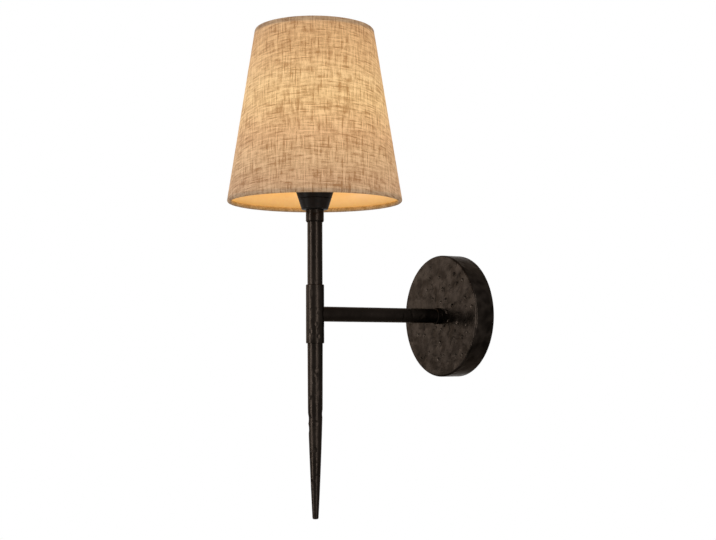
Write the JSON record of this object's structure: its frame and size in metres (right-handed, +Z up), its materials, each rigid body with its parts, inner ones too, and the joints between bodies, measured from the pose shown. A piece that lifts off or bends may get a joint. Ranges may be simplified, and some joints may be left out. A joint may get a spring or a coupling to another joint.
{
  "type": "wall sconce",
  "caption": "Torch-shaped wall light: hammered round wall plate, level arm, collar with a stem above and a forged spike below, and a tapered linen shade over a screw-base bulb.",
  "frame": {"origin": "centre of the wall bracket's two slotted screw holes, on the wall plane", "axes": "+Z up, the wall is the plane Y = 0, the light stands out from it along -Y, +X to the side"},
  "size_m": [0.1734, 0.2602, 0.484],
  "materials": {
    "bronze": "dark oil-rubbed bronze, semi-gloss, hammered",
    "zinc_steel": "zinc plated",
    "green_screw": "green passivated screw",
    "earth_insulation": "green insulation",
    "live_insulation": "black insulation",
    "neutral_insulation": "white insulation",
    "terminal_plastic": "natural white plastic",
    "brass": "bare brass",
    "black_phenolic": "black moulded resin",
    "core_ceramic": "white glazed porcelain",
    "linen": "natural linen, open plain weave",
    "liner_film": "off-white translucent film",
    "frame_wire": "white painted wire",
    "frosted_glass": "frosted, lit warm",
    "lamp_cap": "nickel plated",
    "lamp_insulator": "black glass",
    "solder": "tin solder"
  },
  "bodies": {
    "fixture": {"backplate": "bronze", "plate_screws": "bronze", "wall_bracket": "zinc_steel", "ground_screw": "green_screw", "earth_eyelet": "brass", "earth_lead": "earth_insulation", "terminal_block": "terminal_plastic", "terminal_tubes": "brass", "terminal_screws": "brass", "block_screw": "zinc_steel", "live_lead": "live_insulation", "neutral_lead": "neutral_insulation", "arm_rod": "zinc_steel", "arm_nut": "zinc_steel", "arm_washer": "zinc_steel", "arm_ring": "bronze", "arm_tube": "bronze", "arm_plug": "zinc_steel", "collar": "bronze", "stem_tube": "bronze", "stem_plug": "zinc_steel", "stem_ring": "bronze", "spike": "bronze", "socket_rod": "zinc_steel", "socket_cap": "black_phenolic", "socket_body": "black_phenolic", "socket_core": "core_ceramic", "screw_shell": "brass", "centre_contact": "brass", "contact_screws": "zinc_steel"},
    "shade": {"shade_fabric": "linen", "shade_liner": "liner_film", "shade_top_wire": "frame_wire", "shade_bottom_wire": "frame_wire", "shade_spokes": "frame_wire", "shade_fitter": "frame_wire"},
    "ring_nut": {"shade_ring": "black_phenolic"},
    "bulb_foot": {"bulb_contact": "solder"},
    "bulb": {"bulb_globe": "frosted_glass", "bulb_cap": "lamp_cap", "bulb_insulator": "lamp_insulator"}
  },
  "joints": [
    {"name": "shade_turn", "type": "hinge", "parent": "fixture", "child": "shade", "pos_m": [0, -0.1735, 0.1272], "axis": [0, 0, 1], "continuous": true},
    {"name": "ring_nut_rise", "type": "slide", "parent": "fixture", "child": "ring_nut", "axis": [0, 0, 1], "range_m": [0, 0.009]},
    {"name": "bulb_rise", "type": "slide", "parent": "fixture", "child": "bulb_foot", "axis": [0, 0, 1], "range_m": [0, 0.02177]},
    {"name": "bulb_turn", "type": "hinge", "parent": "bulb_foot", "child": "bulb", "pos_m": [0, -0.1735, 0.129], "axis": [0, 0, 1], "range_deg": [0, 2160]}
  ],
  "couplings": [
    {"joint": "bulb_turn", "follows": "bulb_rise", "rad_per_m": 1731.4}
  ]
}
